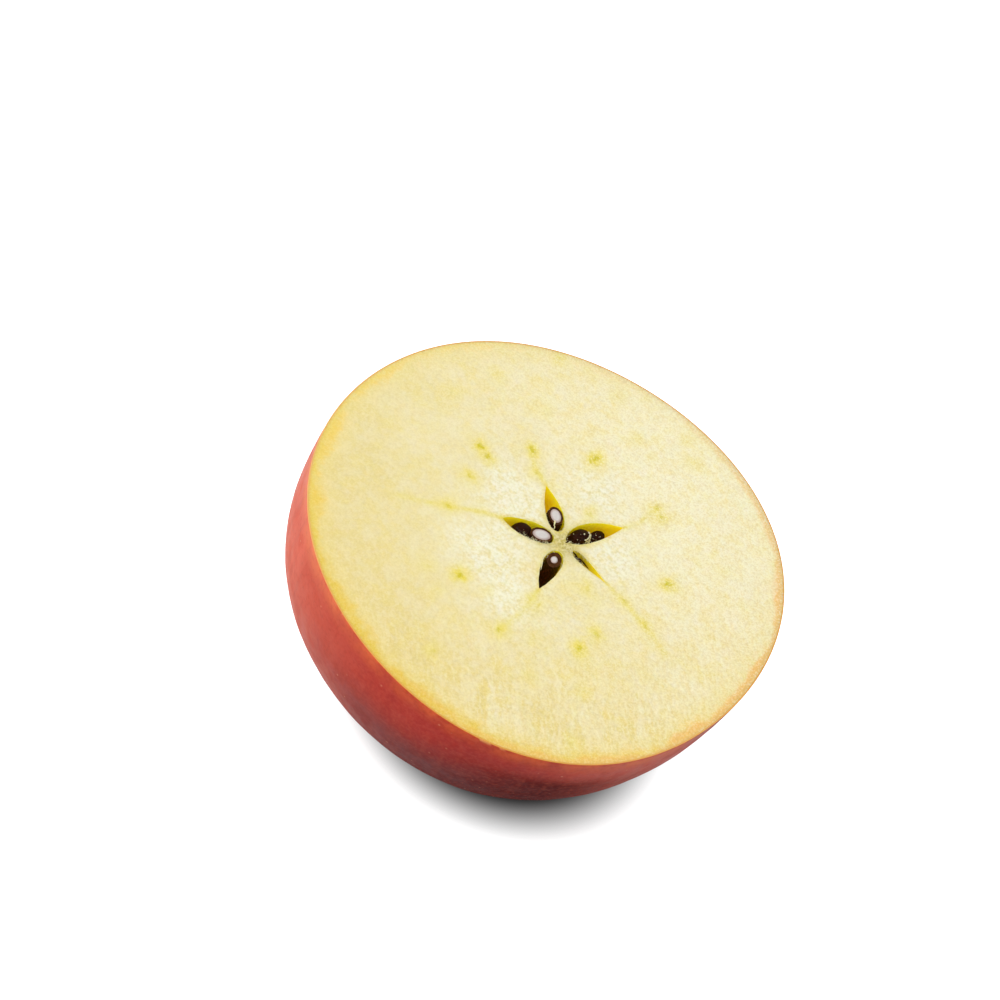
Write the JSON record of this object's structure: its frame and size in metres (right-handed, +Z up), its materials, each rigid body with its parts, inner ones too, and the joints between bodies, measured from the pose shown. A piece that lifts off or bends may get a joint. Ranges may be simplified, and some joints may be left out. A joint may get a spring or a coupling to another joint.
{
  "type": "half of a red apple, cut across",
  "caption": "Half of a red apple cut across, with pale flesh, an open star-shaped core and dark pips, standing on its blossom end.",
  "frame": {"origin": "middle of the underside of the object's box, level with the small flats of the five bumps it stands on", "axes": "+Z points up out of the cut face; +X runs across the cut face, to the right in the main view, and +Y away from the viewer"},
  "size_m": [0.078, 0.0778, 0.0352],
  "materials": {
    "flesh_and_skin": "satin",
    "pip_coat": "gloss",
    "pip_kernel": "matte"
  },
  "bodies": {
    "root": {"flesh_and_skin": "flesh_and_skin", "pip_east_inner": "pip_coat", "pip_east_outer": "pip_coat", "pip_north": "pip_coat", "kernel_north": "pip_kernel", "pip_west_inner": "pip_coat", "kernel_west": "pip_kernel", "pip_west_outer": "pip_coat", "pip_south": "pip_coat", "kernel_south": "pip_kernel", "pip_slit": "pip_coat"}
  },
  "joints": []
}
